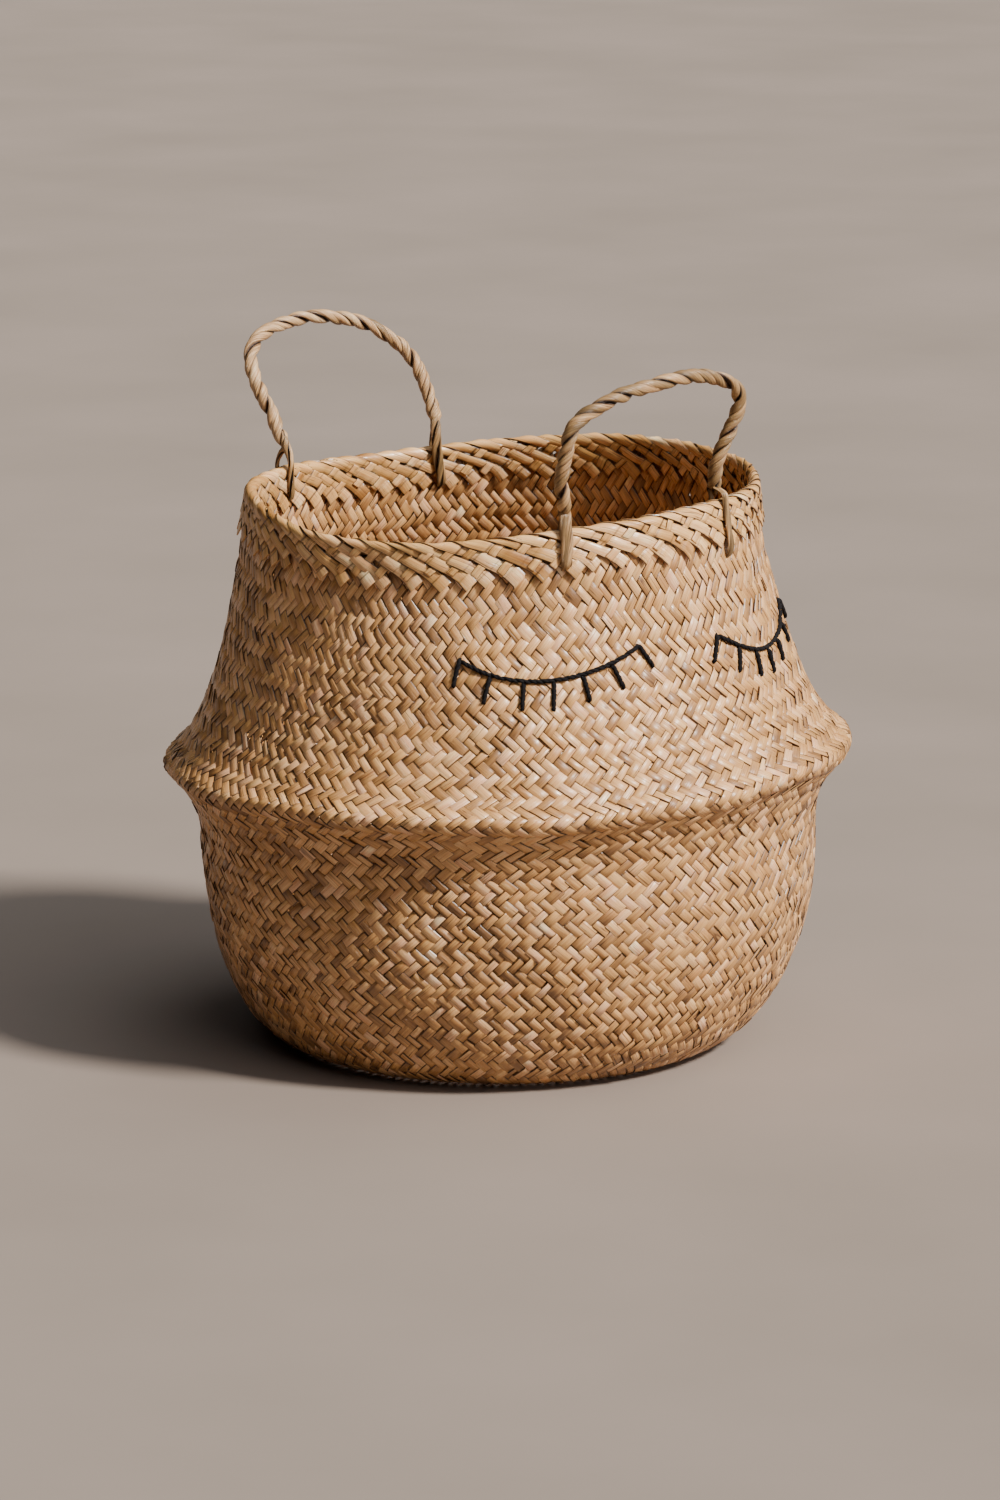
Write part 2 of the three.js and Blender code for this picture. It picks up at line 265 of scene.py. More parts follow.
# %% [markdown]
# ## One strand, modelled once
# A strand is a flat, slightly crowned ribbon: a stem of seagrass that was pressed flat while it
# was damp. It is modelled as a person would, from a six-sided prism that is laid along X,
# flattened, and cut into short lengths so that it can bend. Its mesh is then the pattern for
# every other strand, each of which gets its own copy of the points.
# The two broad faces are shaded smooth, so a strand bends without steps. The narrow bevels beside
# them stay flat, so that the strand keeps a crisp edge.

# %% Strand pattern
def select_edges_along_x(obj):
    bpy.context.tool_settings.mesh_select_mode = (False, True, False)
    mesh = obj.data
    for item in (*mesh.polygons, *mesh.edges, *mesh.vertices):
        item.select = False
    for edge in mesh.edges:
        a, b = (mesh.vertices[v].co for v in edge.vertices)
        edge.select = abs(a.x - b.x) > 0.0001
    bpy.ops.object.mode_set(mode="EDIT")


MOST_PARTS = 100


def model_strand(sides, lengths, flatness=1.72):
    """A strand 1 long, 1 wide and 1 thick, cut into lengths: its points, face corners and faces.

    Blender limits how many cuts one subdivide makes, and gives no error when it is asked for more.
    So the lengths are cut as parts of parts, and the count of points is checked.
    """
    shares = range(1, MOST_PARTS + 1)
    parts = next(n for n in shares if lengths % n == 0 and lengths // n <= MOST_PARTS)
    nothing_selected()
    bpy.ops.mesh.primitive_cylinder_add(
        vertices=sides, radius=0.5, depth=1, location=(0.5, 0, 0), rotation=(0, math.pi / 2, 0),
    )
    strand = bpy.context.object
    bpy.ops.object.transform_apply(location=True, rotation=True, scale=True)
    for share in (parts, lengths // parts):
        if share > 1:
            select_edges_along_x(strand)
            bpy.ops.mesh.subdivide(number_cuts=share - 1)
            bpy.ops.object.mode_set(mode="OBJECT")
    bpy.ops.object.mode_set(mode="EDIT")
    bpy.ops.mesh.select_all(action="SELECT")
    bpy.ops.mesh.normals_make_consistent(inside=False)
    bpy.ops.object.mode_set(mode="OBJECT")
    mesh = strand.data
    points = np.empty(len(mesh.vertices) * 3)
    mesh.vertices.foreach_get("co", points)
    points = points.reshape(-1, 3)
    assert len(points) == sides * (lengths + 1), "every length is cut"
    if sides == 6:
        face = np.abs(points[:, 2]) > 0.1
        points[face, 1] *= flatness
        points[:, 2] /= 0.866
    rounded = np.array([sides != 6 or abs(p.normal.z) > 0.9 for p in mesh.polygons])
    corners = np.empty(len(mesh.loops), int)
    mesh.loops.foreach_get("vertex_index", corners)
    starts = np.empty(len(mesh.polygons), int)
    mesh.polygons.foreach_get("loop_start", starts)
    bpy.data.objects.remove(strand)
    pattern = {
        "section": np.round(points[:, 0] * lengths).astype(int),
        "across": points[:, 1],
        "up": points[:, 2],
        "corners": corners,
        "starts": starts,
        "rounded": rounded,
    }
    return pattern


def lay_strands(name, pattern, points, ribbon_uv, shades, side_share=None, level=1.0):
    """One mesh from many copies of a pattern: points in mm, ribbon_uv in mm, a shade each.

    side_share runs from -1 at one edge of a strand to 1 at the other. level is 1 where the strand
    lies flat on the face of the plait and 0 where it dips through it. The materials read both to
    paint shade at the edges and in the dips.
    """
    copies, count = points.shape[:2]
    side_share = 2 * pattern["across"] if side_share is None else side_share
    mesh = bpy.data.meshes.new(name)
    move = np.arange(copies)[:, None]
    corners = (pattern["corners"][None] + move * count).ravel()
    starts = (pattern["starts"][None] + move * len(pattern["corners"])).ravel()
    mesh.vertices.add(copies * count)
    mesh.loops.add(len(corners))
    mesh.polygons.add(len(starts))
    mesh.vertices.foreach_set("co", (points * MM).astype(np.float32).ravel())
    mesh.polygons.foreach_set("loop_start", starts.astype(np.int32))
    mesh.polygons.foreach_set("vertices", corners.astype(np.int32))
    mesh.polygons.foreach_set("use_smooth", np.tile(pattern["rounded"], copies))
    mesh.update(calc_edges=True)
    uv = mesh.uv_layers.new(name="ribbon")
    flat = ribbon_uv.reshape(-1, 2)[corners]
    uv.data.foreach_set("uv", flat.astype(np.float32).ravel())
    shade = mesh.attributes.new("strand_shade", "FLOAT", "POINT")
    shade.data.foreach_set("value", np.repeat(shades, count).astype(np.float32))
    side = mesh.attributes.new("strand_side", "FLOAT", "POINT")
    side.data.foreach_set("value", np.tile(side_share, copies).astype(np.float32))
    levels = mesh.attributes.new("strand_level", "FLOAT", "POINT")
    level = np.broadcast_to(level, (copies, count))
    levels.data.foreach_set("value", level.astype(np.float32).ravel())
    mesh.validate()
    piece = bpy.data.objects.new(name, mesh)
    bpy.context.scene.collection.objects.link(piece)
    made_pieces.append(piece)
    print(name, "has", copies, "strands and", len(mesh.loops) - 2 * len(starts), "triangles")
    return piece


made_pieces = []

# %% [markdown]
# ## The plait of the wall
# The wall is a 2/2 twill on the slant: each strand goes over two and under two, and the floats
# line up in level rows that lean left and right in turn. One family of strands climbs to the
# right and one to the left, with 150 strands in each. The strands keep their width, so where the
# basket is wide they lie flatter, and where it is narrow they climb more steeply.
# Every other strand is broad and lies over the edges of its neighbours, so broad light floats and
# narrow shaded ones take turns.
# A strand crosses a row of the other family each time that it has turned by a fixed angle.
# The cuts of the pattern are put at the places of a float where it dips under, rises and lies
# flat, which keeps the count of faces low. Each cut runs along the other family, because a float
# ends where the edge of a crossing strand covers it.

# %% Rows of the wall
chance = np.random.default_rng(11)
STRANDS = 150
STRAND_PITCH = 5.72
STRAND_THICKNESS = 1.0
FLOAT_RISE = 0.7
PIECES_PER_FAMILY = 3

pitch_radius = STRANDS * STRAND_PITCH / (2 * math.pi)
radii = middle[:, 0]
turn_per_mm = np.sqrt(np.maximum(radii**2 - pitch_radius**2, 1)) / (radii * pitch_radius)
strand_turn = np.r_[0, np.cumsum((turn_per_mm[1:] + turn_per_mm[:-1]) / 2 * np.diff(length))]
rows_along = strand_turn * STRANDS / math.pi
WALL_TOP = length[-1] - 4.5
last_row = np.interp(WALL_TOP, length, rows_along)

float_middles = np.arange(0.5, last_row - 1, 2)
cuts = (float_middles[:, None] + np.array([-1, -0.88, 0, 0.88])).ravel()
rise = np.tile([0, 0.95, 1, 0.95], len(float_middles))
rise *= np.repeat(np.where(np.arange(len(float_middles)) % 2 == 0, 1, -1), 4)
float_number = np.repeat(np.arange(len(float_middles)), 4)
inside = (cuts >= 0) & (cuts <= last_row)
# The lengths between the cuts have to be an even number, to be cut as parts of parts. Where they
# are odd, the last cut goes, because it lies under the border.
inside[np.flatnonzero(inside)[-1]] = np.sum(inside) % 2 == 1
cuts, rise, float_number = cuts[inside], rise[inside], float_number[inside]
print("rows of crossings:", round(last_row, 1), "cuts per strand:", len(cuts))


# %% Lay the wall
def uneven(copies, floats, size):
    """A smooth random value for each float of each strand."""
    rough = chance.normal(0, 1, (copies, floats + 2))
    return size * (rough[:, :-2] + rough[:, 1:-1] + rough[:, 2:]) / 1.73


def wall_point(turn, s, up):
    """A point at an angle round the basket and a length up the wall, raised off its middle."""
    radius, height, out_r, out_z = profile(s)
    radius = radius + up * out_r
    return np.stack([radius * np.cos(turn), radius * np.sin(turn), height + up * out_z], -1)


wall_pattern = model_strand(6, len(cuts) - 1)
cut_at = np.interp(cuts, rows_along, length)
cut_turn = np.interp(cuts, rows_along, strand_turn)
cut_radius = profile(cut_at)[0]
climb_sin = np.clip(pitch_radius / cut_radius, 0, 1)
climb_cos = np.sqrt(1 - climb_sin**2)
along_strand = np.r_[0, np.cumsum(np.diff(cut_at) / np.maximum(climb_sin[1:], 0.3))]


def lay_family(name, side, number):
    """Strands number of one family: side +1 climbs anticlockwise, -1 clockwise."""
    k = wall_pattern["section"]
    copies = len(number)
    floats = len(float_middles)
    broad = np.where(number % 2 == 0, 1.0, -1.0)[:, None]
    narrow = 1 + 0.09 * chance.normal(0, 1, copies)[:, None] + uneven(copies, floats, 0.05)
    share_of_pitch = (1.06 + 0.14 * broad) * np.clip(narrow, 0.75, 1.2)
    width = STRAND_PITCH * share_of_pitch[:, float_number][:, k]
    on_top = 1 + 0.15 * broad
    lift = uneven(copies, floats, 0.08)[:, float_number][:, k]
    roll = uneven(copies, floats, 0.36)[:, float_number][:, k]
    drift = uneven(copies, floats, 0.32)[:, float_number][:, k]
    across = wall_pattern["across"] * width + drift
    up = side * rise[k] * FLOAT_RISE * on_top + lift + roll * wall_pattern["across"] * 2
    up = up + wall_pattern["up"] * STRAND_THICKNESS
    turn = side * cut_turn[k] + 2 * math.pi * number[:, None] / STRANDS
    turn = turn - across / (2 * climb_sin[k] * cut_radius[k])
    s = cut_at[k] + side * across / (2 * np.maximum(climb_cos[k], 0.35))
    ribbon = np.stack([
        wall_pattern["across"] * width,
        np.broadcast_to(along_strand[k], width.shape),
    ], -1)
    points = by_hand(wall_point(turn, s, up))
    shades = chance.random(copies)
    return lay_strands(name, wall_pattern, points, ribbon, shades, level=np.abs(rise[k]))


plait_pieces = []
for part in range(PIECES_PER_FAMILY):
    share = STRANDS // PIECES_PER_FAMILY
    numbers = np.arange(part * share, (part + 1) * share)
    plait_pieces.append(lay_family(f"plait_right_{part + 1}", 1, numbers))
    plait_pieces.append(lay_family(f"plait_left_{part + 1}", -1, numbers))

# %% [markdown]
# ## The rim border
# At the rim the strand ends are turned down over both faces of the wall and plaited back in. They
# make a thicker band with long floats that lean to the left, short floats of the other family
# between them, and a saw edge of square-cut ends below. The band is laid on a line of its own: up
# the outer face, round over the rim and down the inner face.
# The leaning angle changes on the way, because the ends spread at the saw edge and crowd together
# over the rim, where they lie on each other like shingles.

# %% Border line
COLLAR_LEAN = math.atan2(COLLAR_FOOT[0] - RIM[0], RIM[1] - COLLAR_FOOT[1])
RIM_MIDDLE = RIM[0] - WALL / 2 / math.cos(COLLAR_LEAN)
BORDER_OFFSET = 2.9
BORDER_LEG = 23.0
BORDER_TOP = 4.0
over_rim = math.pi * BORDER_OFFSET
BORDER_LENGTH = 2 * BORDER_LEG + over_rim


def on_collar(out, down):
    """Radius and height of a point that is out from the wall's middle and down from the rim."""
    radius = RIM_MIDDLE + out * math.cos(COLLAR_LEAN) + down * math.sin(COLLAR_LEAN)
    height = RIM[1] + out * math.sin(COLLAR_LEAN) - down * math.cos(COLLAR_LEAN)
    return radius, height


def border_point(turn, c, up):
    """A point at an angle round the rim and a length c over it, raised off the border's middle."""
    bend = np.clip((c - BORDER_LEG) / BORDER_OFFSET, 0, math.pi)
    reach = BORDER_OFFSET + up
    beyond = np.maximum(BORDER_LEG - c, 0) + np.maximum(c - BORDER_LEG - over_rim, 0)
    radius, height = on_collar(reach * np.cos(bend), BORDER_TOP - reach * np.sin(bend) + beyond)
    return np.stack([radius * np.cos(turn), radius * np.sin(turn), height], -1)


# %% Lay the border
BORDER_STRANDS = 64
WIDTH_PLACES = [0, 6, 10, 18, 26]
BORDER_WIDTHS = [9.2, 8.8, 7.2, 6.6, 6.1]
CROSSING_WIDTHS = [5.6] * 5
BORDER_CUTS = 72
BORDER_THICKNESS = 0.95
BORDER_RISE = 0.5
CROSSING_ROWS = (1, 3, 7, 9)

along_border = np.linspace(-2, BORDER_LENGTH + 2, 400)
from_edge = np.minimum(along_border, BORDER_LENGTH - along_border)
lean = np.radians(np.interp(from_edge, [0, 4, 8, 17, 26], [49, 43, 29, 26, 20]))
cross_lean = math.radians(46)
spacing = 2 * math.pi * RIM_MIDDLE / BORDER_STRANDS
step_along = along_border[1] - along_border[0]
border_turn = np.cumsum(1 / np.tan(lean)) * step_along / RIM_MIDDLE
crossing_turn = along_border / math.tan(cross_lean) / RIM_MIDDLE
border_rows = (border_turn + crossing_turn) * BORDER_STRANDS / (2 * math.pi)
border_rows += 5 - np.interp(BORDER_LENGTH / 2, along_border, border_rows)
edge_rows = np.interp([0, BORDER_LENGTH], along_border, border_rows)
print("border rows at the two edges:", np.round(edge_rows, 2))


def border_rise(rows):
    """How high the long floats lie: +1 on top, -1 where a crossing strand covers them."""
    low = np.zeros_like(rows)
    for row in CROSSING_ROWS:
        low = low + np.clip(1 - ((rows - row) / 0.56) ** 6, 0, 1)
    return 1 - 2 * np.clip(low, 0, 1)


def wavering(copies, places, size):
    """A slow random change along each strand, from one random value in every eighth place."""
    knots = chance.normal(0, size, (copies, places // 8 + 2))
    at = np.arange(places) / 8
    low = at.astype(int)
    share = smooth_step(at - low)
    return knots[:, low] * (1 - share) + knots[:, low + 1] * share


def lay_border(name, side, widths, turns, leans, other_leans, ends, raised, tilt):
    """One family of the border: side as on the wall, ends the length past each edge of the band.

    raised is +1 for the family on top of the rows and -1 for the other, and tilt lifts one edge of
    each strand over its neighbour.
    """
    pattern = model_strand(6, BORDER_CUTS)
    k = pattern["section"]
    share = np.linspace(0, 1, BORDER_CUTS + 1)
    start = -ends + chance.normal(0, 0.9, BORDER_STRANDS)[:, None]
    stop = BORDER_LENGTH + ends + chance.normal(0, 0.9, BORDER_STRANDS)[:, None]
    c = (start + (stop - start) * share)[:, k]
    inwards = np.minimum(c, BORDER_LENGTH - c)
    broad = np.clip(1 + chance.normal(0, 0.08, BORDER_STRANDS), 0.8, 1.15)[:, None]
    broad = broad * np.interp(inwards, WIDTH_PLACES, widths)
    across = pattern["across"] * broad + wavering(BORDER_STRANDS, BORDER_CUTS + 1, 0.4)[:, k]
    angle = np.interp(c, along_border, leans)
    other = np.interp(c, along_border, other_leans)
    skew = np.sin(angle + other)
    turn = side * np.interp(c, along_border, turns)
    place = np.arange(BORDER_STRANDS)[:, None] + 0.1 * chance.normal(0, 1, (BORDER_STRANDS, 1))
    turn = turn + 2 * math.pi * place / BORDER_STRANDS
    turn = turn - across * np.cos(other) / skew / RIM_MIDDLE
    at = c + side * across * np.sin(other) / skew
    rows = np.interp(c, along_border, border_rows)
    free_end = smooth_step((2.5 - np.minimum(c, BORDER_LENGTH - c)) / 4)
    up = raised * border_rise(rows) * BORDER_RISE + tilt * pattern["across"] * broad / 8
    up = up + free_end * raised * 0.35
    up = up + pattern["up"] * BORDER_THICKNESS + wavering(BORDER_STRANDS, BORDER_CUTS + 1, 0.12)[:, k]
    ribbon = np.stack([pattern["across"] * broad, c / np.sin(0.6)], -1)
    points = by_hand(border_point(turn, at, up))
    shades = chance.random(BORDER_STRANDS)
    return lay_strands(name, pattern, points, ribbon, shades, level=np.abs(border_rise(rows)))


cross_leans = np.full_like(lean, cross_lean)
border_long = lay_border(
    "border_floats", -1, BORDER_WIDTHS, border_turn, lean, cross_leans, 1.2, 1, 0.8,
)
border_cross = lay_border(
    "border_crossings", 1, CROSSING_WIDTHS, crossing_turn, cross_leans, lean, -4.5, -1, 0.2,
)

# %% [markdown]
# ## The base
# The base can't be seen in the photo. Baskets of this kind start as a flat plaited mat, whose
# strands run straight both ways, and a ring of twined cord holds its edge to the wall. So the
# base is a 2/2 twill of straight strands, cut to a circle, with a twined ring inside and outside.
# The model falls short of this: the rings end at 134.6 mm, and the wall's strands start in points
# outside them, so the base isn't joined to the wall and the floor shows in between.
# Each strand has the same number of cuts, spread over its own length.

# %% Base mat
MAT_RADIUS = 132.0
MAT_PITCH = 5.75
MAT_CUTS = 84


def lay_mat(name, side):
    pattern = model_strand(6, MAT_CUTS)
    k = pattern["section"]
    count = int(2 * MAT_RADIUS / MAT_PITCH)
    number = np.arange(count)
    place = (number - (count - 1) / 2) * MAT_PITCH
    half = np.sqrt(MAT_RADIUS**2 - np.minimum(np.abs(place) + MAT_PITCH / 2, MAT_RADIUS - 4) ** 2)
    along = np.linspace(-1, 1, MAT_CUTS + 1)[None] * half[:, None]
    crossing = along / MAT_PITCH + (count - 1) / 2
    phase = (crossing - number[:, None]) * side + 0.5
    q = np.mod(phase, 4) - 1
    rise = np.where(q <= 1, 1 - np.abs(q) ** 4, -(1 - np.abs(q - 2) ** 4))
    up = side * rise[:, k] * FLOAT_RISE + pattern["up"] * STRAND_THICKNESS
    up = up + uneven(count, MAT_CUTS + 1, 0.05)[:, k] + WALL / 2
    wide = pattern["across"] * MAT_PITCH * 0.95 * (1 + 0.06 * chance.normal(0, 1, (count, 1)))
    first, second = along[:, k], place[:, None] + wide
    points = np.stack([first, second, up] if side > 0 else [second, -first, up], -1)
    ribbon = np.stack([wide, first], -1)
    return lay_strands(name, pattern, points, ribbon, chance.random(count))


mat_pieces = [lay_mat("base_mat_across", 1), lay_mat("base_mat_along", -1)]


# %% [markdown]
# ## Twisted cord
# The handles, the base rings and the yarn are all twisted: two or three plies wind round each
# other. Each ply is a round pattern strand that follows a helix about the cord's own line.
# The helper needs that line, and one direction that is never along it, to turn the plies from.

# %% Lay a cord
def smooth_line(points, count):
    """A smooth line through points, with count places on it an even way apart."""
    p = np.asarray(points, float)
    p = np.concatenate([2 * p[:1] - p[1:2], p, 2 * p[-1:] - p[-2:-1]])
    pieces = []
    for a, b, c, d in zip(p, p[1:], p[2:], p[3:]):
        t = np.linspace(0, 1, 24, endpoint=False)[:, None]
        square, cube = 2 * a - 5 * b + 4 * c - d, 3 * b - a - 3 * c + d
        pieces.append(0.5 * (2 * b + (c - a) * t + square * t**2 + cube * t**3))
    line = np.concatenate([*pieces, p[-2:-1]])
    far = np.r_[0, np.cumsum(np.linalg.norm(np.diff(line, axis=0), axis=1))]
    even = np.linspace(0, far[-1], count)
    columns = [np.interp(even, far, line[:, i]) for i in range(line.shape[1])]
    return np.stack(columns, 1), even


def unit(v):
    return v / np.maximum(np.linalg.norm(v, axis=-1, keepdims=True), 1e-9)


def lay_cord(
    name, line, along, aside, plies, ply_width, ply_height, twist, reach, sides=10,
    tapers=(1.0, 1.0), taper_length=5.0, closed=False, pressed=1.0, worn=None, lightest=1.0,
):
    """Twists plies round a line: aside isn't along it, twist is the length of a full turn.

    reach is how far a ply's middle lies from the line. tapers are the shares of its size that the
    cord keeps at its two ends, and taper_length is how far each taper goes.
    pressed is the share of its thickness, along the way of aside, that a flattened cord keeps.
    worn, if given, moves the finished points to the uneven form, and lightest caps the plies' shade.
    """
    count = len(line)
    pattern = model_strand(sides, count - 1)
    k = pattern["section"]
    ahead = unit(np.gradient(line, axis=0))
    if closed:
        ahead[0] = ahead[-1] = unit(line[1] - line[-2])
    first = unit(np.cross(ahead, aside))
    second = np.cross(ahead, first)
    ends = np.minimum(
        tapers[0] + (1 - tapers[0]) * smooth_step(along / taper_length),
        tapers[1] + (1 - tapers[1]) * smooth_step((along[-1] - along) / taper_length),
    )
    turned = np.cumsum(np.gradient(along) / twist)
    points, ribbons, shades = [], [], []
    for ply in range(plies):
        wander = 0 if closed else 0.5 * np.sin(along / 23 + 2 * ply) + 0.3 * np.sin(along / 9 + ply)
        angle = 2 * math.pi * (turned + ply / plies) + wander
        out = np.cos(angle)[:, None] * first + np.sin(angle)[:, None] * second
        centre = line + out * (reach * ends)[:, None]
        forward = unit(np.gradient(centre, axis=0))
        if closed:
            forward[0] = forward[-1] = unit(centre[1] - centre[-2])
        out = unit(out - forward * np.sum(out * forward, axis=1)[:, None])
        across = np.cross(forward, out)
        swell = 1 + 0.07 * np.sin(along / 7 + 1.7 * ply) + 0.05 * np.sin(along / 3.1 + ply)
        fat = ends if closed else ends * swell
        round_ply = np.arctan2(pattern["across"], pattern["up"])
        lobes = 1 if closed else 1 + 0.07 * np.cos(3 * round_ply + along[k] / 4)
        wide = pattern["across"] * ply_width * fat[k] * lobes
        high = pattern["up"] * ply_height * fat[k] * lobes
        laid = centre[k] + across[k] * wide[:, None] + out[k] * high[:, None] - line[k]
        thick = np.sum(laid * second[k], axis=1) * (1 - np.broadcast_to(pressed, count)[k])
        points.append(line[k] + laid - thick[:, None] * second[k])
        ribbons.append(np.stack([round_ply * ply_width / 2, along[k]], -1))
        shades.append(lightest * chance.random())
    # The share round each ply, which the finish reads to paint shade into the grooves between plies.
    side_share = np.arctan2(pattern["across"], pattern["up"]) / math.radians(112)
    points = np.array(points) if worn is None else worn(np.array(points))
    return lay_strands(name, pattern, points, np.array(ribbons), np.array(shades), side_share)


def ring_line(radius, height, count):
    """A level closed ring round the basket's middle, and the length along it."""
    turns = np.linspace(0, 2 * math.pi, count)
    line = np.stack([radius * np.cos(turns), radius * np.sin(turns), np.full(count, height)], 1)
    return line, turns * radius


RING_TWISTS = 100
RING_RADIUS = 132.5
RINGS = {"base_ring_inside": (3.6, 2.4), "base_ring_outside": (1.4, 1.4)}
ring_pieces = []
for name, (height, size) in RINGS.items():
    line, along = ring_line(RING_RADIUS, height, 1201)
    ring_pieces.append(lay_cord(
        name, line, along, (0, 0, 1), 2, size, size * 0.8, 2 * math.pi * RING_RADIUS / RING_TWISTS,
        size * 0.42, sides=6, closed=True,
    ))

# %% [markdown]
# ## The handles
# Each handle is a three-ply rope of twisted strands, about 10 mm thick. Its arch isn't even: it was
# traced from the photo as points in the handle's own plane, along its hinge line and up. The rope
# turns on the hinge line of the frame, and leans outwards at rest. Its twist is tight at the ends
# and slacker at the top.
# Near the rim the rope parts. Half of its strands go down outside the border and half inside, and
# they meet again in a hole in the wall. The rope and the bundles both thin out where they meet, so
# one runs into the other. Each foot is fuller on the side that the photo shows, with the length
# measured there. The other side is guessed, and thinner.
# The flat ends are laid where they lie at rest, and ride on no body.

# %% Handle ropes
HINGE_OUT = 149.98
HINGE_HEIGHT = 376.79
HANDLES = {
    "front": {"side": -1, "lean": 12, "feet": (-67.5, 53.5), "arch": [
        (-66.5, -3), (-68.8, 3), (-71, 9), (-73.2, 15), (-74.8, 23), (-75.2, 32), (-74.4, 41.5),
        (-73.3, 50.5), (-70, 58), (-62.7, 63.6), (-52.4, 68.3), (-41.9, 72.2), (-30, 75),
        (-17, 77.3), (-3.7, 79.1),
        (9.7, 80.4), (23.4, 80.3), (36.3, 78.6), (48.7, 74.3), (58, 68.4), (62.4, 61.4),
        (62.7, 54.5), (61.4, 47.3), (58.5, 40), (55.8, 33.5), (53, 26.5), (51.2, 18.2),
        (51.5, 9.5), (52.8, 3), (53.8, -3),
    ]},
    "back": {"side": 1, "lean": 28, "feet": (-66.5, 59.5), "arch": [
        (-66.8, -3), (-67.4, 3), (-68.5, 12.8), (-69.6, 23.8), (-72, 34.1), (-73.6, 44.2), (-74.1, 54.1),
        (-72.4, 63), (-67, 70.8), (-58.3, 76.9), (-46.2, 81.4), (-32.8, 84), (-19.5, 85.2),
        (-8, 84.7), (3, 83.1), (16.1, 80), (26.4, 75.8), (36, 70), (44.3, 63.5), (51.2, 56.7),
        (55.8, 49.1), (58.7, 40.7), (60.4, 31.4), (61.2, 23.1), (61.2, 13), (60.2, 3), (59, -3),
    ]},
}
TWIST_AT_ENDS = 24.0
TWIST_AT_TOP = 36.0
ROPE_PLY = (5.5, 4.7)
ROPE_REACH = 2.45
JOIN_TAPER = 0.35
JOIN_LENGTH = 9.0


def handle_point(handle, u, v, out=0.0):
    """A point of a handle: u along its hinge line, v up the handle, out square to its plane."""
    lean = math.radians(handle["lean"])
    depth = HINGE_OUT + v * np.sin(lean) + out * np.cos(lean)
    height = HINGE_HEIGHT + v * np.cos(lean) - out * np.sin(lean)
    return np.stack([u + 0 * depth, handle["side"] * depth, height], -1)


rope_pieces = {}
for name, handle in HANDLES.items():
    arch = np.array(handle["arch"], float)
    line, along = smooth_line(handle_point(handle, arch[:, 0], arch[:, 1]), 301)
    lean = math.radians(handle["lean"])
    plane = (0, handle["side"] * math.cos(lean), -math.sin(lean))
    from_end = np.minimum(along, along[-1] - along)
    twist = TWIST_AT_ENDS + (TWIST_AT_TOP - TWIST_AT_ENDS) * smooth_step(from_end / 110)
    rope_pieces[name] = lay_cord(
        f"{name}_handle_twist", line, along, plane, 3, *ROPE_PLY, twist, ROPE_REACH,
        sides=12, tapers=(JOIN_TAPER, JOIN_TAPER), taper_length=JOIN_LENGTH,
    )

# %% Flat ends that straddle the rim
BUNDLES = {
    "front_left": {"size": 1.0, "down": 25.5, "slant": 0.0},
    "front_right": {"size": 0.75, "down": 37.0, "slant": 0.0},
    "back_left": {"size": 0.8, "down": 25.0, "slant": 5.5},
    "back_right": {"size": 0.9, "down": 29.0, "slant": 5.5},
}
UNSEEN_SIZE, UNSEEN_DOWN = 0.6, 29.0
leg_pieces = []
for handle_name, handle in HANDLES.items():
    lean = math.radians(handle["lean"])
    seen_face = 1 if handle_name == "front" else -1
    for foot_side, foot_at in zip(("left", "right"), handle["feet"]):
        swing = math.asin(foot_at / RIM_MIDDLE)
        bearing = swing if handle_name == "front" else math.pi - swing
        away = np.array([math.sin(bearing), -math.cos(bearing), 0])
        rope_out = math.hypot(foot_at, HINGE_OUT) - RIM_MIDDLE
        for face, face_name in ((1, "outside"), (-1, "inside")):
            bundle = BUNDLES[f"{handle_name}_{foot_side}"]
            size, down = bundle["size"], bundle["down"]
            if face != seen_face:
                size, down = UNSEEN_SIZE, UNSEEN_DOWN
            high = 3.9 + 2.0 * size
            spots = np.array([
                (rope_out + 9 * math.sin(lean), -12.9 - 9 * math.cos(lean)),
                (rope_out + face * 0.2, -12.5), (rope_out * 0.55 + face * 0.6 * high, -8),
                (face * high * 0.97, -2.5), (face * high, 4), (face * high, down * 0.42),
                (face * high, down * 0.7), (face * (high - 0.6), down * 0.85),
                (face * (high - 2.2), down - 1.7), (face * (high - 4.8), down),
            ])
            flat, along = smooth_line(spots, 61)
            radius, height = on_collar(flat[:, 0], flat[:, 1])
            line = radius[:, None] * away
            line[:, 2] = height
            slid = bundle["slant"] * np.clip(flat[:, 1] / down, 0, 1)
            line += slid[:, None] * np.array([math.cos(swing), 0, 0])
            line[:, 1] -= away[1] * slid * math.sin(swing)
            piece = lay_cord(
                f"{handle_name}_{foot_side}_strand_ends_{face_name}", line, along, away, 4,
                4.5 * size, 3.3 * size, 28 + 60 * smooth_step((along - 6) / 22), 2.5 * size, sides=10,
                tapers=(JOIN_TAPER, 0.8), taper_length=JOIN_LENGTH, worn=by_hand, lightest=0.3,
                pressed=np.interp(along, [0, 9, 18, 40], [1, 0.95, 0.6, 0.45]),
            )
            leg_pieces.append((piece, handle_name, foot_side))

# %% [markdown]
# ## The stitched eyes
# Each eye is a curved line of back stitches with seven straight lashes, in dark two-ply yarn. It
# is a plain, common ornament. The stitches lie on the shoulder and dip into the plait at their
# ends, so each line is written as places round and up the wall with a height above it.

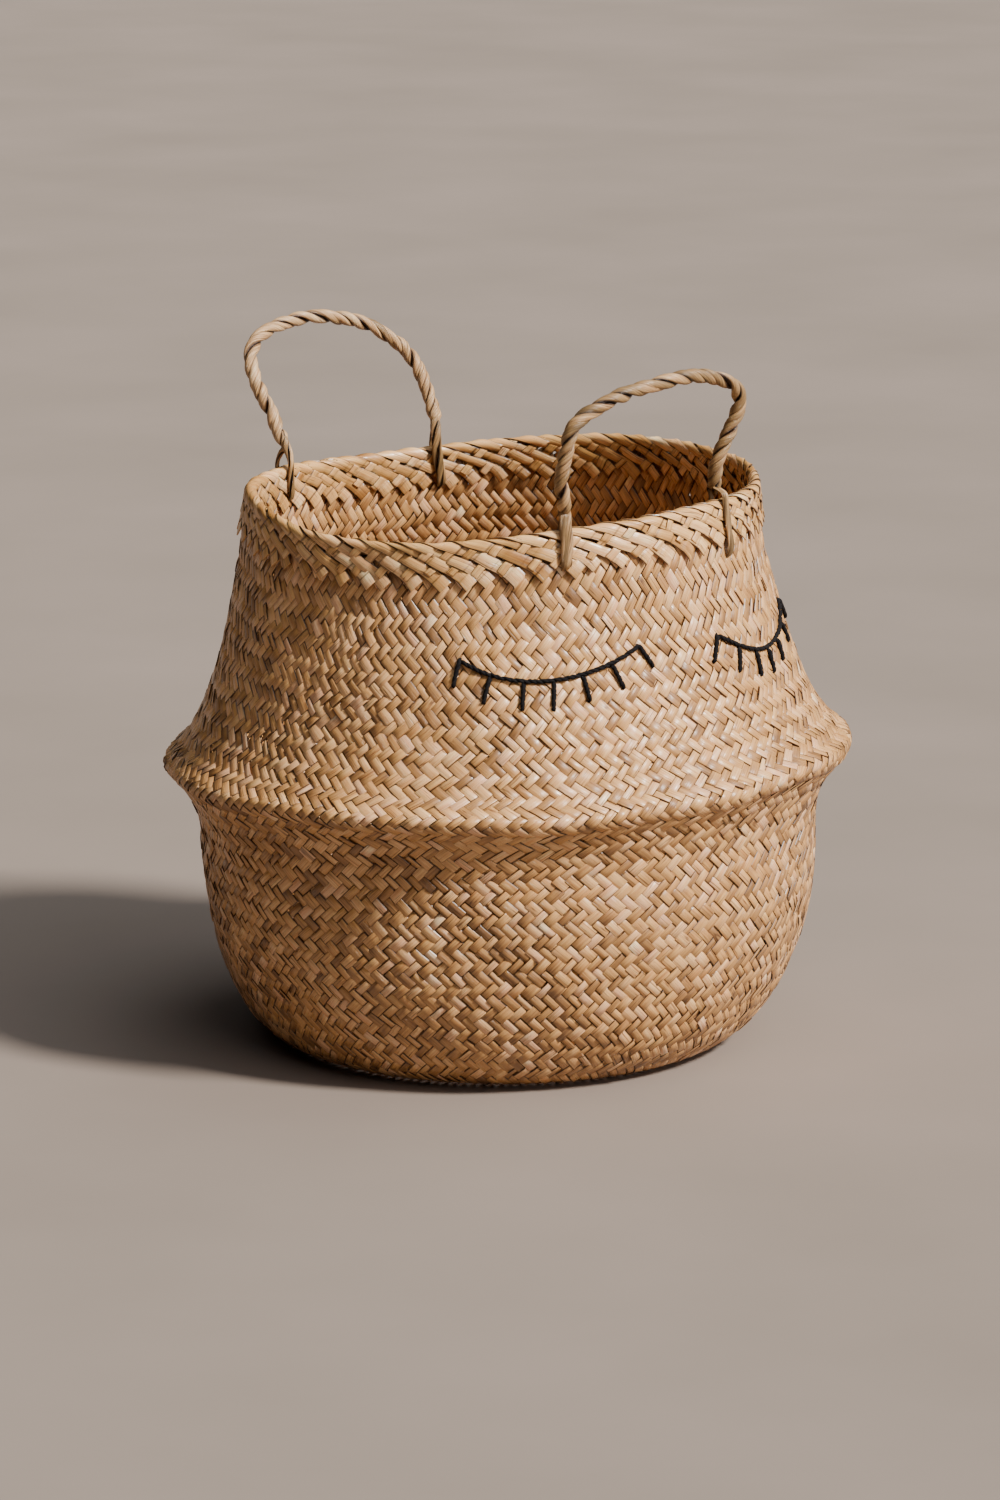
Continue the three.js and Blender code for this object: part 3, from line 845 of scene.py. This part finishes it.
# %% Yarn
HALF_EYE = 57.0
EYES = {
    "left": {"turn": -28.1, "low": 271.3, "rise": 16.0, "lash_ends": [
        (-63.2, 272.2), (-45.7, 262.4), (-22.7, 256.7), (-1.8, 254.2), (23.0, 258.0),
        (44.9, 263.7), (65.4, 274.5),
    ]},
    "right": {"turn": 28.6, "low": 269.6, "rise": 15.5, "lash_ends": [
        (-66.9, 270.3), (-47.2, 262.0), (-23.6, 255.8), (-1.9, 253.4), (18.9, 256.4),
        (42.0, 262.8), (65.7, 272.6),
    ]},
}
YARN_LIFT = 2.5
YARN_PLY = (2.15, 1.95)
YARN_TWIST = 8.0
YARN_REACH = 0.62


def eye_point(eye_turn, across, height, lift):
    """A point on the shoulder: mm across from an eye's middle, at a height, lifted off the plait."""
    s = np.interp(height, middle[:, 1], length)
    radius = profile(s)[0] + WALL / 2
    turn = math.radians(eye_turn) + across / radius - math.pi / 2
    return by_hand(wall_point(turn, s, lift))


def lid_height(eye, across):
    """Height of the lid's hanging curve."""
    return eye["low"] + eye["rise"] * (across / HALF_EYE) ** 2


def lay_yarn(name, points, steps_per_mm=1.5):
    rough = np.linalg.norm(np.diff(points, axis=0), axis=1).sum()
    line, along = smooth_line(points, 12 * math.ceil(rough * steps_per_mm / 12) + 1)
    outwards = line * np.array([1, 1, 0])
    return lay_cord(
        name, line, along, outwards, 2, *YARN_PLY, YARN_TWIST, YARN_REACH, sides=8, tapers=(0.8, 0.8),
    )


yarn_pieces = {}
for side_name, eye in EYES.items():
    roots = np.linspace(-HALF_EYE, HALF_EYE, 7)
    across = np.linspace(-HALF_EYE, HALF_EYE, 61)
    nearest = np.abs(across[:, None] - roots).min(axis=1)
    lift = YARN_LIFT - 0.75 * (1 - smooth_step(nearest / 3))
    lift[[0, -1]] = 0.6
    yarn_pieces[f"{side_name}_eye_lid"] = lay_yarn(
        f"{side_name}_eye_lid_yarn", eye_point(eye["turn"], across, lid_height(eye, across), lift),
    )
    for number, (root, tip) in enumerate(zip(roots, eye["lash_ends"])):
        way = np.array(tip) - (root, lid_height(eye, root))
        reach = np.array([0.07, 0.11, 0.2, 0.36, 0.55, 0.93, 1.0, 1.03])
        lift = np.array([-0.4, 1.5, 2.3, 2.5, 2.5, 2.3, 1.3, -0.8])
        if number in (0, 6):
            reach[:3], lift[:3] = (-0.06, 0.0, 0.12), (-0.2, 1.6, 2.4)
        height = lid_height(eye, root) + reach * way[1]
        path = eye_point(eye["turn"], root + reach * way[0], height, lift)
        node = f"{side_name}_eye_lash_{number + 1}"
        yarn_pieces[node] = lay_yarn(f"{node}_yarn", path)

# %% [markdown]
# ## Materials
# The whole basket is dried seagrass, a flat stem of pale straw to brown colour. It was pressed
# flat, so it has long fibres, a dull satin face and a crease or two along it.
# Every strand comes from another stem, so the colour changes from strand to strand, and slowly
# along each one. The patterns read the ribbon map, which gives millimetres across and along a
# strand, so that fibres follow the strand wherever it goes.
# A strand lies in shade where it dips through the plait, along its edges and in its creases. The
# material paints that shade as darker colour, which draws a line round each float.
# The stitches are spun wool in black: short loose hairs scatter the light, so the yarn is nearly
# black and quite dull. The floor is plain pale plaster with a faint mottle.

# %% Colours and nodes
def hex_colour(code):
    """An sRGB hex value as the linear colour that a socket takes."""
    parts = [int(code[i:i + 2], 16) / 255 for i in (1, 3, 5)]
    return (*[p / 12.92 if p <= 0.04045 else ((p + 0.055) / 1.055) ** 2.4 for p in parts], 1)


def add_node(tree, kind, inputs, stops=None, **settings):
    """Adds a node with its settings, and gives each input a value or a link."""
    node = tree.nodes.new(kind)
    for key, value in settings.items():
        setattr(node, key, value)
    for key, value in inputs.items():
        if isinstance(value, bpy.types.NodeSocket):
            tree.links.new(value, node.inputs[key])
        else:
            node.inputs[key].default_value = value
    if stops:
        ramp = node.color_ramp
        while len(ramp.elements) < len(stops):
            ramp.elements.new(0.5)
        for element, (place, colour) in zip(ramp.elements, stops):
            element.position = place
            element.color = hex_colour(colour)
    return node.outputs[0] if kind != "ShaderNodeMix" else node.outputs[2]


def new_material(name):
    material = bpy.data.materials.new(name)
    material.use_nodes = True
    tree = material.node_tree
    return material, tree, tree.nodes["Principled BSDF"]


# %% Seagrass
NOISE_APART = 613.0


def seagrass(name, stems, edge_shade_at, painted_edge_shade_colour, fibre_depth):
    """Pressed seagrass: stems are its colours; the next two give the share of its half width kept free
    of painted edge shade, and the colour of that painted shade.
    """
    material, tree, shader = new_material(name)
    ribbon = add_node(tree, "ShaderNodeUVMap", {}, uv_map="ribbon")
    split = tree.nodes.new("ShaderNodeSeparateXYZ")
    tree.links.new(ribbon, split.inputs[0])
    across, along = split.outputs[0], split.outputs[1]
    shade = tree.nodes.new("ShaderNodeAttribute")
    shade.attribute_name = "strand_shade"
    which = add_node(
        tree, "ShaderNodeMath", {0: shade.outputs["Fac"], 1: NOISE_APART}, operation="MULTIPLY",
    )

    def stretched(per_mm_across, per_mm_along, detail):
        """Noise drawn out along the strand, from another slice of the noise for each strand."""
        x = add_node(tree, "ShaderNodeMath", {0: across, 1: per_mm_across}, operation="MULTIPLY")
        y = add_node(tree, "ShaderNodeMath", {0: along, 1: per_mm_along}, operation="MULTIPLY")
        place = add_node(tree, "ShaderNodeCombineXYZ", {0: x, 1: y, 2: which})
        return add_node(tree, "ShaderNodeTexNoise", {"Vector": place, "Scale": 1.0, "Detail": detail})

    stain = stretched(0.05, 0.035, 2.0)
    streak = stretched(0.9, 0.03, 2.0)
    fibre = stretched(2.6, 0.09, 3.0)
    crease = stretched(0.75, 0.012, 0.0)

    tone = add_node(tree, "ShaderNodeMath", {0: stain, 1: 1.2, 2: -0.42}, operation="MULTIPLY_ADD")
    tone = add_node(
        tree, "ShaderNodeMath", {0: shade.outputs["Fac"], 1: 0.6, 2: tone}, operation="MULTIPLY_ADD",
    )
    body = add_node(tree, "ShaderNodeValToRGB", {0: tone}, stops=stems)
    light = add_node(
        tree, "ShaderNodeValToRGB", {0: streak},
        stops=[(0.25, "#7d6a5a"), (0.5, "#bcbcbc"), (0.72, "#fffcf6")],
    )
    body = add_node(
        tree, "ShaderNodeMix", {0: 0.55, 6: body, 7: light}, data_type="RGBA", blend_type="SOFT_LIGHT",
    )
    dark_fibre = add_node(
        tree, "ShaderNodeValToRGB", {0: fibre}, stops=[(0.28, "#b49c80"), (0.55, "#ffffff")],
    )
    body = add_node(
        tree, "ShaderNodeMix", {0: 0.4, 6: body, 7: dark_fibre}, data_type="RGBA", blend_type="MULTIPLY",
    )
    # Painted shade: a dark line along each crease, where the fold lies in shade.
    line = add_node(tree, "ShaderNodeMath", {0: crease, 1: 0.5}, operation="SUBTRACT")
    line = add_node(tree, "ShaderNodeMath", {0: line}, operation="ABSOLUTE")
    painted_crease_shade = add_node(
        tree, "ShaderNodeValToRGB", {0: line}, stops=[(0.0, "#6a4e36"), (0.022, "#ffffff")],
    )
    body = add_node(
        tree, "ShaderNodeMix", {0: 0.8, 6: body, 7: painted_crease_shade}, data_type="RGBA", blend_type="MULTIPLY",
    )
    # Painted shade: the colour darkens towards a strand's edges, or round the grooves between a rope's
    # plies, where shade falls between neighbours.
    side = tree.nodes.new("ShaderNodeAttribute")
    side.attribute_name = "strand_side"
    off_middle = add_node(tree, "ShaderNodeMath", {0: side.outputs["Fac"]}, operation="ABSOLUTE")
    edge = add_node(
        tree, "ShaderNodeValToRGB", {0: off_middle}, stops=[(edge_shade_at, "#ffffff"), (0.96, painted_edge_shade_colour)],
    )
    body = add_node(
        tree, "ShaderNodeMix", {0: 1.0, 6: body, 7: edge}, data_type="RGBA", blend_type="MULTIPLY",
    )
    # Painted shade: the colour darkens where a strand dips through the plait and lies in the shade of
    # the crossing strands.
    level = tree.nodes.new("ShaderNodeAttribute")
    level.attribute_name = "strand_level"
    painted_dip_shade = add_node(
        tree, "ShaderNodeValToRGB", {0: level.outputs["Fac"]},
        stops=[(0.0, "#4e3a28"), (0.62, "#ffffff")],
    )
    body = add_node(
        tree, "ShaderNodeMix", {0: 1.0, 6: body, 7: painted_dip_shade}, data_type="RGBA", blend_type="MULTIPLY",
    )
    tree.links.new(body, shader.inputs["Base Color"])

    gloss = add_node(tree, "ShaderNodeMapRange", {0: streak, 1: 0.3, 2: 0.7, 3: 0.5, 4: 0.24})
    tree.links.new(gloss, shader.inputs["Roughness"])
    shader.inputs["Specular IOR Level"].default_value = 0.6
    fold_height = add_node(tree, "ShaderNodeMapRange", {0: line, 1: 0.0, 2: 0.03})
    height = add_node(tree, "ShaderNodeMath", {0: fibre, 1: fold_height}, operation="ADD")
    bump = add_node(tree, "ShaderNodeBump", {"Height": height, "Strength": 0.8, "Distance": fibre_depth})
    tree.links.new(bump, shader.inputs["Normal"])
    return material


STEMS = [
    (0.0, "#845e3a"), (0.2, "#a97a49"), (0.45, "#d09a5e"), (0.7, "#e6b27a"), (0.88, "#e9b388"),
    (1.0, "#fad7a8"),
]
RIM_STEMS = [
    (0.0, "#a57139"), (0.25, "#cb9757"), (0.55, "#e4af70"), (0.8, "#ebb781"), (1.0, "#fbdaa4"),
]
ROPE_STEMS = [
    (0.0, "#6a5333"), (0.22, "#94744a"), (0.45, "#bf9566"), (0.7, "#d7ad7d"), (1.0, "#f1d2a4"),
]
# The dark edge colour of each finish is painted shade: along the edges of flat strands, and in the
# grooves between a rope's plies.
plait_finish = seagrass("seagrass_pressed_plait", STEMS, 0.84, "#3a2a1c", 0.00016)
border_finish = seagrass("seagrass_pressed_border", RIM_STEMS, 0.82, "#3a2a1c", 0.00016)
rope_finish = seagrass("seagrass_twisted_rope", ROPE_STEMS, 0.56, "#4e3823", 0.0007)

# %% Yarn and floor
yarn_finish, tree, shader = new_material("wool_yarn_black_spun")
place = add_node(tree, "ShaderNodeUVMap", {}, uv_map="ribbon")
hair = add_node(tree, "ShaderNodeTexNoise", {"Vector": place, "Scale": 3.0, "Detail": 4.0})
colour = add_node(tree, "ShaderNodeValToRGB", {0: hair}, stops=[(0.3, "#0b0a0b"), (0.75, "#262223")])
tree.links.new(colour, shader.inputs["Base Color"])
bump = add_node(tree, "ShaderNodeBump", {"Height": hair, "Strength": 0.9, "Distance": 0.0004})
tree.links.new(bump, shader.inputs["Normal"])
shader.inputs["Roughness"].default_value = 0.95
shader.inputs["Specular IOR Level"].default_value = 0.15

floor_finish, tree, shader = new_material("floor_pale_plaster")
place = tree.nodes.new("ShaderNodeTexCoord").outputs["Object"]
mottle = add_node(tree, "ShaderNodeTexNoise", {"Vector": place, "Scale": 3.0, "Detail": 6.0})
colour = add_node(tree, "ShaderNodeValToRGB", {0: mottle}, stops=[(0.3, "#807368"), (0.7, "#897b70")])
tree.links.new(colour, shader.inputs["Base Color"])
shader.inputs["Roughness"].default_value = 0.9
floor.data.materials.append(floor_finish)

for piece in made_pieces:
    if piece.name.startswith(("plait", "base_mat")):
        finish = plait_finish
    # The base rings share the lighter border finish, which lifts them where they looked too dark in
    # shade: painted light.
    elif piece.name.startswith(("border", "base_ring")):
        finish = border_finish
    elif piece.name.endswith("yarn"):
        finish = yarn_finish
    else:
        finish = rope_finish
    piece.data.materials.append(finish)
print("finished", len(made_pieces), "pieces")

# %% [markdown]
# ## Which body each piece rides on
# The wall strands run through the bowl, the shoulder and the collar; they are laid where they lie
# at rest and ride on no body, as do the flat ends of the handles and the stitches. The border
# goes with the collar, the base with the bowl, and each rope with its handle.

# %% Bodies
for piece in plait_pieces:
    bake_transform(piece)
    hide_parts("bowl", "shoulder", "collar")
for piece in (*mat_pieces, *ring_pieces):
    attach(piece, "bowl")
for piece in (border_long, border_cross):
    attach(piece, "collar")
    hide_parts("rim_border")
for name, piece in rope_pieces.items():
    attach(piece, f"{name}_handle")
    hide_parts(f"{name}_handle_rope")
for piece, handle_name, foot_side in leg_pieces:
    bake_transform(piece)
    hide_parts(f"{handle_name}_{foot_side}_loop")
for node, piece in yarn_pieces.items():
    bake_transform(piece)
    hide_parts(node)
